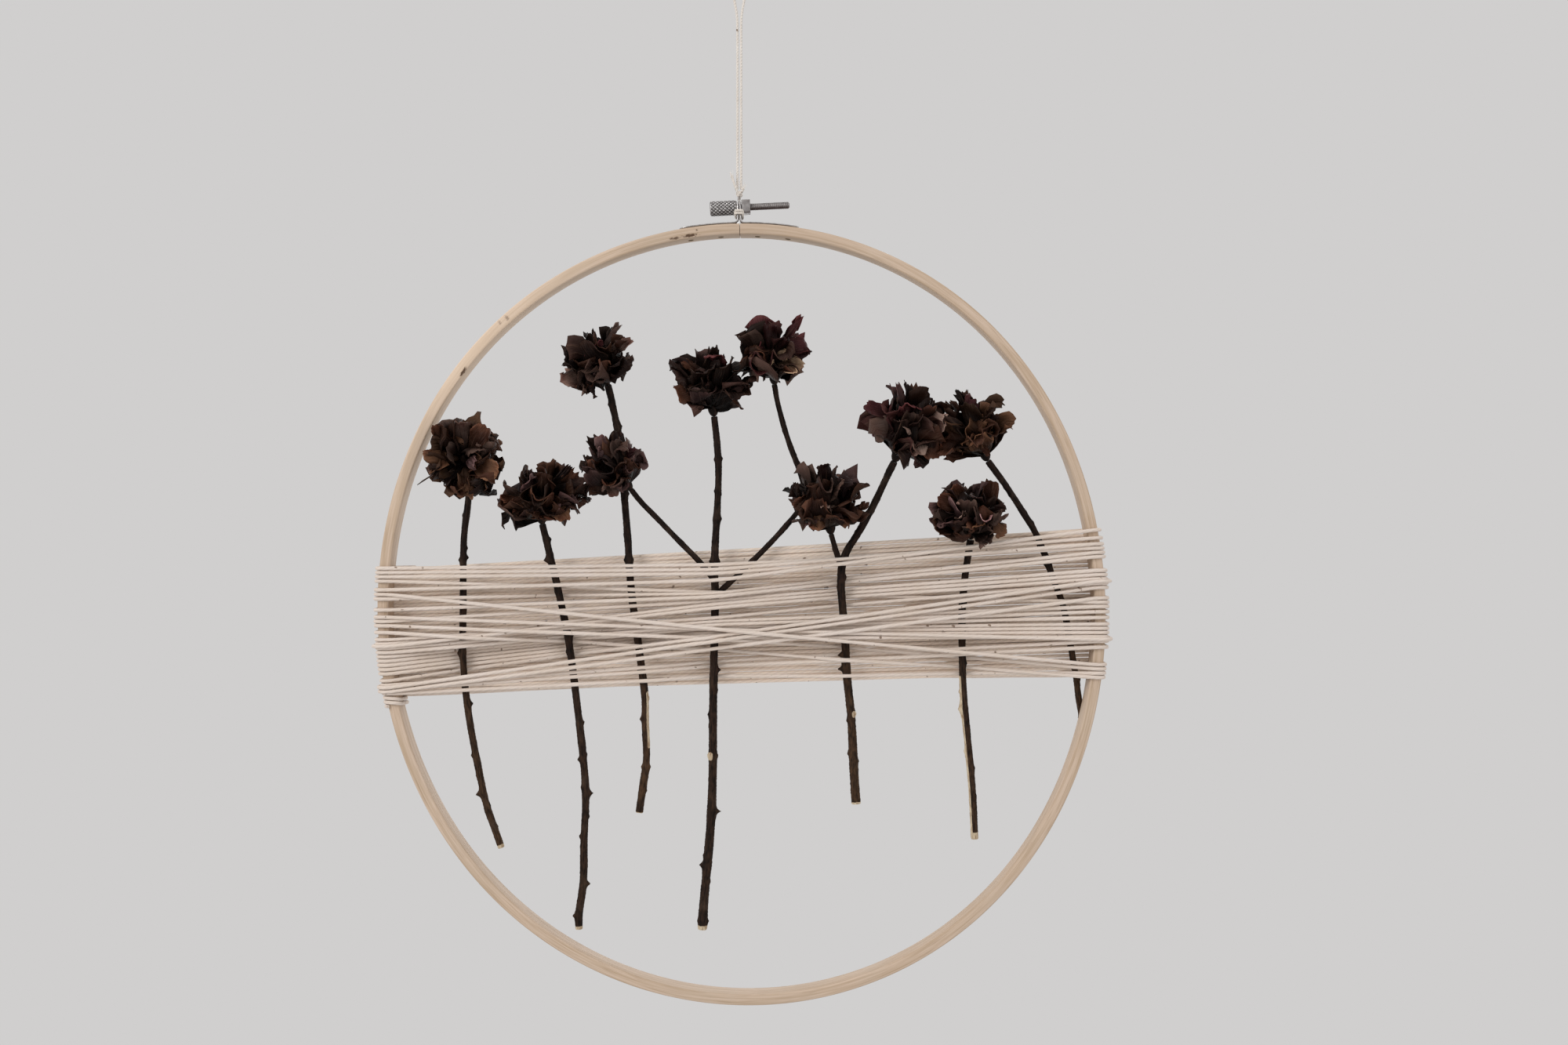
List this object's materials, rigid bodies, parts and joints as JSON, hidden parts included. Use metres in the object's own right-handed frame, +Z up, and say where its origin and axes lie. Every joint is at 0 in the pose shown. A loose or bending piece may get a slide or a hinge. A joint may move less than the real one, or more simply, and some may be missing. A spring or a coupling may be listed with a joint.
{
  "type": "yarn-wound embroidery hoop wall hanging with dried roses",
  "caption": "Oval wooden embroidery hoop wound across its middle with cream yarn that holds dark twigs and dried roses, hung on a doubled string.",
  "frame": {"origin": "the inner top of the hanging loop, where a nail or hook carries it", "axes": "+Z up, -Y out of the hoop's front towards the viewer, +X to the viewer's right"},
  "size_m": [0.2967, 0.036, 0.4116],
  "materials": {
    "pale_wood": "bare pale bentwood with fine grain, slightly soiled",
    "steel": "dull grey plated steel",
    "cream_cotton": "matt plied cotton yarn with light fuzz",
    "dark_bark": "dry dark brown bark, stripped pale in places",
    "dried_petals": "crumpled dry petals, brown, mauve and maroon"
  },
  "bodies": {
    "hanging": {"hoop_ring": "pale_wood", "bracket_left": "steel", "bracket_right": "steel", "screw_nut": "steel", "yarn_winding": "cream_cotton", "stem_1": "dark_bark", "stem_2": "dark_bark", "stem_3": "dark_bark", "stem_4": "dark_bark", "stem_5": "dark_bark", "stem_6": "dark_bark", "stem_7": "dark_bark", "flower_1": "dried_petals", "flower_2": "dried_petals", "flower_3": "dried_petals", "flower_4": "dried_petals", "flower_5": "dried_petals", "flower_6": "dried_petals", "flower_7": "dried_petals", "flower_8": "dried_petals", "flower_9": "dried_petals", "flower_10": "dried_petals", "hanging_string": "cream_cotton", "hanging_knot": "cream_cotton"},
    "screw": {"thumb_screw": "steel"}
  },
  "joints": [
    {"name": "thumb_screw_turn", "type": "hinge", "parent": "hanging", "child": "screw", "pos_m": [0, 0, -0.0908], "axis": [0.9988, 0, 0.048], "continuous": true}
  ]
}
